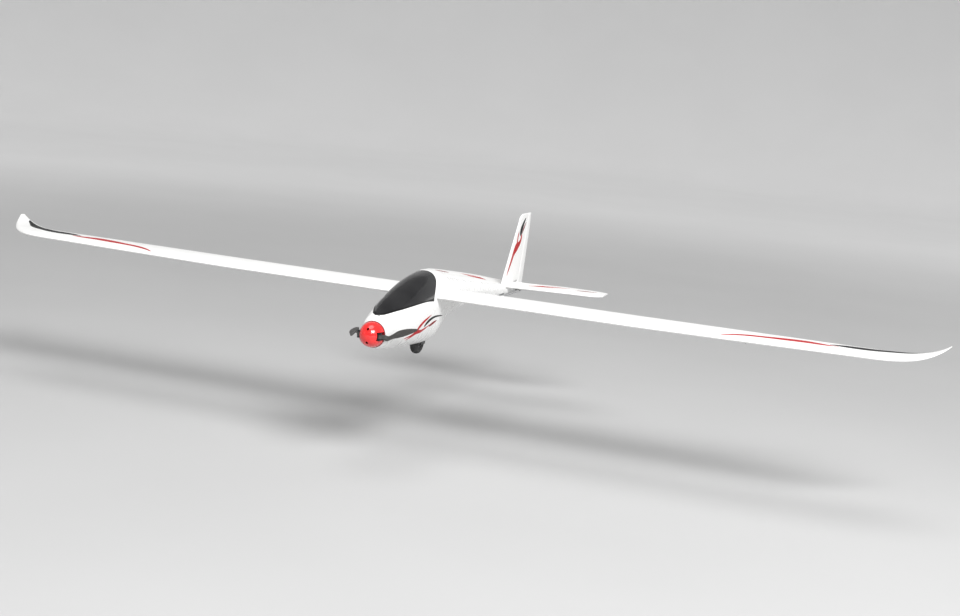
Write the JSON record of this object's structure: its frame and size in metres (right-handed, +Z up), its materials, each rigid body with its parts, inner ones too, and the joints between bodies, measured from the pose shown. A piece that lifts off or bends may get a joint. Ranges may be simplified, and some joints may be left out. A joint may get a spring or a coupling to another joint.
{
  "type": "radio-controlled motor glider",
  "caption": "Slender-winged electric glider with a pod body, smoked canopy hatch, folding nose propeller, belly wheel and low tailplane.",
  "frame": {"origin": "middle of the glider's span and length, on the ground under its wheel", "axes": "+X to the port wing tip, -Y towards the nose, +Y aft, +Z up"},
  "size_m": [2.4, 1.21, 0.2895],
  "materials": {
    "fuselage_shell": "gloss white moulded shell with printed red and black graphics",
    "canopy": "dark smoked gloss, moulded in one with the hatch",
    "wing_joiner_tube": "pulled carbon-fibre tube, satin",
    "wing_alignment_pin": "drawn wire",
    "wing_panel_port": "smooth moulded foam with printed film graphics",
    "flap_port": "smooth moulded foam",
    "aileron_port": "smooth moulded foam",
    "flap_servo_port": "moulded case",
    "servo_arm_flap_port": "moulded nylon",
    "control_horn_flap_port": "moulded nylon",
    "pushrod_flap_port": "drawn wire",
    "aileron_servo_port": "moulded case",
    "servo_arm_aileron_port": "moulded nylon",
    "control_horn_aileron_port": "moulded nylon",
    "pushrod_aileron_port": "drawn wire",
    "blade_pin_port": "turned pin",
    "blade_port": "dark satin moulded blade",
    "wing_panel_starboard": "smooth moulded foam with printed film graphics",
    "flap_starboard": "smooth moulded foam",
    "aileron_starboard": "smooth moulded foam",
    "flap_servo_starboard": "moulded case",
    "servo_arm_flap_starboard": "moulded nylon",
    "control_horn_flap_starboard": "moulded nylon",
    "pushrod_flap_starboard": "drawn wire",
    "aileron_servo_starboard": "moulded case",
    "servo_arm_aileron_starboard": "moulded nylon",
    "control_horn_aileron_starboard": "moulded nylon",
    "pushrod_aileron_starboard": "drawn wire",
    "blade_pin_starboard": "turned pin",
    "blade_starboard": "dark satin moulded blade",
    "stabiliser": "smooth moulded foam with printed film graphics",
    "elevator": "smooth moulded foam with printed film graphics",
    "fin": "smooth moulded foam with printed film graphics",
    "rudder": "smooth moulded foam with printed film graphics",
    "tail_screw": "machine screw",
    "elevator_horn": "moulded nylon",
    "rudder_horn": "moulded nylon",
    "battery_tray": "thin plywood",
    "servo_tray": "thin plywood",
    "speed_controller": "heat-shrink sleeve",
    "battery": "heat-shrink sleeve",
    "battery_strap": "woven hook-and-loop tape",
    "receiver": "moulded case",
    "elevator_servo": "moulded case",
    "rudder_servo": "moulded case",
    "servo_arm_elevator": "moulded nylon",
    "servo_arm_rudder": "moulded nylon",
    "pushrod_elevator": "drawn wire",
    "pushrod_rudder": "drawn wire",
    "motor_mount": "stamped plate",
    "motor_stator": "lacquered windings",
    "motor_bell": "anodised can",
    "prop_shaft": "ground steel",
    "spinner_backplate": "moulded",
    "spinner_cone": "gloss red moulding",
    "prop_yoke": "machined",
    "tyre": "matt foam rubber",
    "wheel_hub": "moulded",
    "wheel_axle": "drawn wire",
    "wheel_bracket": "moulded"
  },
  "bodies": {
    "airframe": {"fuselage_shell": "fuselage_shell", "motor_mount": "motor_mount", "motor_stator": "motor_stator", "battery_tray": "battery_tray", "speed_controller": "speed_controller", "battery": "battery", "battery_strap": "battery_strap", "servo_tray": "servo_tray", "receiver": "receiver", "elevator_servo": "elevator_servo", "rudder_servo": "rudder_servo", "wing_joiner_tube": "wing_joiner_tube", "wing_alignment_pin": "wing_alignment_pin", "stabiliser": "stabiliser", "fin": "fin", "tail_screw": "tail_screw", "wheel_bracket": "wheel_bracket", "wheel_axle": "wheel_axle", "flap_servo_port": "flap_servo_port", "flap_servo_starboard": "flap_servo_starboard", "aileron_servo_port": "aileron_servo_port", "aileron_servo_starboard": "aileron_servo_starboard", "wing_panel_port": "wing_panel_port", "wing_panel_starboard": "wing_panel_starboard"},
    "propeller": {"motor_bell": "motor_bell", "prop_shaft": "prop_shaft", "spinner_backplate": "spinner_backplate", "spinner_cone": "spinner_cone", "prop_yoke": "prop_yoke", "blade_pin_port": "blade_pin_port", "blade_pin_starboard": "blade_pin_starboard"},
    "blade_port": {"blade_port": "blade_port"},
    "blade_starboard": {"blade_starboard": "blade_starboard"},
    "main_wheel": {"tyre": "tyre", "wheel_hub": "wheel_hub"},
    "canopy": {"canopy": "canopy"},
    "elevator": {"elevator": "elevator", "elevator_horn": "elevator_horn"},
    "rudder": {"rudder": "rudder", "rudder_horn": "rudder_horn"},
    "elevator_rod": {"pushrod_elevator": "pushrod_elevator"},
    "rudder_rod": {"pushrod_rudder": "pushrod_rudder"},
    "elevator_arm": {"servo_arm_elevator": "servo_arm_elevator"},
    "rudder_arm": {"servo_arm_rudder": "servo_arm_rudder"},
    "flap_port": {"flap_port": "flap_port", "control_horn_flap_port": "control_horn_flap_port"},
    "flap_rod_port": {"pushrod_flap_port": "pushrod_flap_port"},
    "flap_arm_port": {"servo_arm_flap_port": "servo_arm_flap_port"},
    "flap_starboard": {"flap_starboard": "flap_starboard", "control_horn_flap_starboard": "control_horn_flap_starboard"},
    "flap_rod_starboard": {"pushrod_flap_starboard": "pushrod_flap_starboard"},
    "flap_arm_starboard": {"servo_arm_flap_starboard": "servo_arm_flap_starboard"},
    "aileron_port": {"aileron_port": "aileron_port", "control_horn_aileron_port": "control_horn_aileron_port"},
    "aileron_rod_port": {"pushrod_aileron_port": "pushrod_aileron_port"},
    "aileron_arm_port": {"servo_arm_aileron_port": "servo_arm_aileron_port"},
    "aileron_starboard": {"aileron_starboard": "aileron_starboard", "control_horn_aileron_starboard": "control_horn_aileron_starboard"},
    "aileron_rod_starboard": {"pushrod_aileron_starboard": "pushrod_aileron_starboard"},
    "aileron_arm_starboard": {"servo_arm_aileron_starboard": "servo_arm_aileron_starboard"}
  },
  "joints": [
    {"name": "prop_spin", "type": "hinge", "parent": "airframe", "child": "propeller", "pos_m": [0, -0.571, 0.084], "axis": [0, 1, 0], "continuous": true},
    {"name": "blade_fold_port", "type": "hinge", "parent": "propeller", "child": "blade_port", "pos_m": [0.024, -0.587, 0.084], "axis": [0, 0, -1], "range_deg": [0, 56]},
    {"name": "blade_fold_starboard", "type": "hinge", "parent": "propeller", "child": "blade_starboard", "pos_m": [-0.024, -0.587, 0.084], "axis": [0, 0, 1], "range_deg": [0, 56]},
    {"name": "wheel_spin", "type": "hinge", "parent": "airframe", "child": "main_wheel", "pos_m": [0, -0.271, 0.0285], "axis": [1, 0, 0], "continuous": true},
    {"name": "canopy_lift", "type": "slide", "parent": "airframe", "child": "canopy", "axis": [0, 0, 1], "range_m": [0, 0.1]},
    {"name": "flap_hinge_port", "type": "hinge", "parent": "airframe", "child": "flap_port", "pos_m": [0.0642, -0.1548, 0.14368], "axis": [-1, 0, 0], "range_deg": [-5, 45]},
    {"name": "flap_hinge_starboard", "type": "hinge", "parent": "airframe", "child": "flap_starboard", "pos_m": [-0.0642, -0.1548, 0.14368], "axis": [-1, 0, 0], "range_deg": [-5, 45]},
    {"name": "aileron_hinge_port", "type": "hinge", "parent": "airframe", "child": "aileron_port", "pos_m": [0.5042, -0.1548, 0.1437], "axis": [-1, 0, -0.0053], "range_deg": [-25, 25]},
    {"name": "aileron_hinge_starboard", "type": "hinge", "parent": "airframe", "child": "aileron_starboard", "pos_m": [-0.5042, -0.1548, 0.1437], "axis": [-1, 0, 0.0053], "range_deg": [-25, 25]},
    {"name": "flap_arm_turn_port", "type": "hinge", "parent": "airframe", "child": "flap_arm_port", "pos_m": [0.298, -0.2115, 0.14367], "axis": [-1, 0, 0], "range_deg": [-5, 40]},
    {"name": "flap_rod_push_port", "type": "slide", "parent": "airframe", "child": "flap_rod_port", "axis": [0, 1, 0], "range_m": [-0.0105, 0.0015]},
    {"name": "flap_arm_turn_starboard", "type": "hinge", "parent": "airframe", "child": "flap_arm_starboard", "pos_m": [-0.298, -0.2115, 0.14367], "axis": [-1, 0, 0], "range_deg": [-5, 40]},
    {"name": "flap_rod_push_starboard", "type": "slide", "parent": "airframe", "child": "flap_rod_starboard", "axis": [0, 1, 0], "range_m": [-0.0105, 0.0015]},
    {"name": "aileron_arm_turn_port", "type": "hinge", "parent": "airframe", "child": "aileron_arm_port", "pos_m": [0.758, -0.2115, 0.14556], "axis": [-1, 0, 0], "range_deg": [-22, 22]},
    {"name": "aileron_rod_push_port", "type": "slide", "parent": "airframe", "child": "aileron_rod_port", "axis": [0, 1, 0], "range_m": [-0.006, 0.006]},
    {"name": "aileron_arm_turn_starboard", "type": "hinge", "parent": "airframe", "child": "aileron_arm_starboard", "pos_m": [-0.758, -0.2115, 0.14556], "axis": [-1, 0, 0], "range_deg": [-22, 22]},
    {"name": "aileron_rod_push_starboard", "type": "slide", "parent": "airframe", "child": "aileron_rod_starboard", "axis": [0, 1, 0], "range_m": [-0.006, 0.006]},
    {"name": "elevator_hinge", "type": "hinge", "parent": "airframe", "child": "elevator", "pos_m": [0, 0.479, 0.0976], "axis": [-1, 0, 0], "range_deg": [-22, 22]},
    {"name": "rudder_hinge", "type": "hinge", "parent": "airframe", "child": "rudder", "pos_m": [0, 0.5275, 0.084], "axis": [0, 0.2425, 0.9701], "range_deg": [-28, 28]},
    {"name": "elevator_rod_push", "type": "slide", "parent": "airframe", "child": "elevator_rod", "axis": [0, 1, 0], "range_m": [-0.008, 0.008]},
    {"name": "elevator_arm_turn", "type": "hinge", "parent": "airframe", "child": "elevator_arm", "pos_m": [-0.016, -0.17, 0.1073], "axis": [0, 0, 1], "range_deg": [-36, 36]},
    {"name": "rudder_rod_push", "type": "slide", "parent": "airframe", "child": "rudder_rod", "axis": [0, 1, 0], "range_m": [-0.009, 0.009]},
    {"name": "rudder_arm_turn", "type": "hinge", "parent": "airframe", "child": "rudder_arm", "pos_m": [0.016, -0.17, 0.1073], "axis": [0, 0, 1], "range_deg": [-38, 38]}
  ],
  "couplings": [
    {"joint": "flap_hinge_starboard", "follows": "flap_hinge_port", "ratio": 1},
    {"joint": "aileron_hinge_starboard", "follows": "aileron_hinge_port", "ratio": -1},
    {"joint": "flap_arm_turn_port", "follows": "flap_hinge_port", "ratio": 0.83333},
    {"joint": "flap_rod_push_port", "follows": "flap_hinge_port", "m_per_rad": -0.0125},
    {"joint": "flap_arm_turn_starboard", "follows": "flap_hinge_port", "ratio": 0.83333},
    {"joint": "flap_rod_push_starboard", "follows": "flap_hinge_port", "m_per_rad": -0.0125},
    {"joint": "aileron_arm_turn_port", "follows": "aileron_hinge_port", "ratio": 0.83333},
    {"joint": "aileron_rod_push_port", "follows": "aileron_hinge_port", "m_per_rad": -0.0125},
    {"joint": "aileron_arm_turn_starboard", "follows": "aileron_hinge_port", "ratio": -0.83333},
    {"joint": "aileron_rod_push_starboard", "follows": "aileron_hinge_port", "m_per_rad": 0.0125},
    {"joint": "elevator_rod_push", "follows": "elevator_hinge", "m_per_rad": -0.019},
    {"joint": "elevator_arm_turn", "follows": "elevator_hinge", "ratio": -1.52},
    {"joint": "rudder_rod_push", "follows": "rudder_hinge", "m_per_rad": 0.0165},
    {"joint": "rudder_arm_turn", "follows": "rudder_hinge", "ratio": -1.32}
  ]
}
